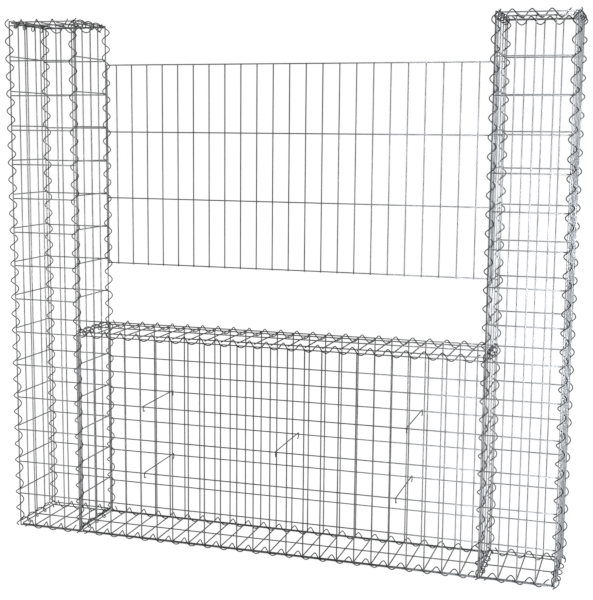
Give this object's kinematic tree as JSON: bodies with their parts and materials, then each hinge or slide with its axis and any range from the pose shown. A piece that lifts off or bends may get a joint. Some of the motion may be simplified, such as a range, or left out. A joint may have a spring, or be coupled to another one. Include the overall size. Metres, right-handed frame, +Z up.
{
  "type": "gabion wall",
  "caption": "Empty welded-wire stone basket wall: tall pillars joined by a low basket, an open climbing mesh between them, and spiral lacing on every edge.",
  "frame": {"origin": "on the floor, under the middle of the wall", "axes": "+X along the wall to the right seen from the front, +Y from front to back, +Z up"},
  "size_m": [1.6377, 0.2372, 1.5257],
  "materials": {
    "mesh_wire": "galvanised, satin",
    "lacing_wire": "galvanised, satin, a little darker",
    "tie_wire": "galvanised, satin, a little darker"
  },
  "bodies": {
    "root": {"left_pillar_front_mesh": "mesh_wire", "left_pillar_back_mesh": "mesh_wire", "left_pillar_outer_mesh": "mesh_wire", "left_pillar_inner_mesh": "mesh_wire", "left_pillar_lid_mesh": "mesh_wire", "left_pillar_base_mesh": "mesh_wire", "left_pillar_front_outer_coil": "lacing_wire", "left_pillar_front_inner_coil": "lacing_wire", "left_pillar_back_outer_coil": "lacing_wire", "left_pillar_back_inner_coil": "lacing_wire", "left_pillar_lid_coils": "lacing_wire", "left_pillar_base_coils": "lacing_wire", "right_pillar_front_mesh": "mesh_wire", "right_pillar_back_mesh": "mesh_wire", "right_pillar_outer_mesh": "mesh_wire", "right_pillar_inner_mesh": "mesh_wire", "right_pillar_lid_mesh": "mesh_wire", "right_pillar_base_mesh": "mesh_wire", "right_pillar_front_outer_coil": "lacing_wire", "right_pillar_front_inner_coil": "lacing_wire", "right_pillar_back_outer_coil": "lacing_wire", "right_pillar_back_inner_coil": "lacing_wire", "right_pillar_lid_coils": "lacing_wire", "right_pillar_base_coils": "lacing_wire", "basket_front_mesh": "mesh_wire", "basket_back_mesh": "mesh_wire", "basket_lid_mesh": "mesh_wire", "basket_base_mesh": "mesh_wire", "basket_lid_front_coil": "lacing_wire", "basket_lid_back_coil": "lacing_wire", "basket_base_front_coil": "lacing_wire", "basket_base_back_coil": "lacing_wire", "basket_lid_left_coil": "lacing_wire", "basket_lid_right_coil": "lacing_wire", "trellis_mesh": "mesh_wire", "tie_hook_1": "tie_wire", "tie_hook_2": "tie_wire", "tie_hook_3": "tie_wire", "tie_hook_4": "tie_wire", "tie_hook_5": "tie_wire"}
  },
  "joints": []
}
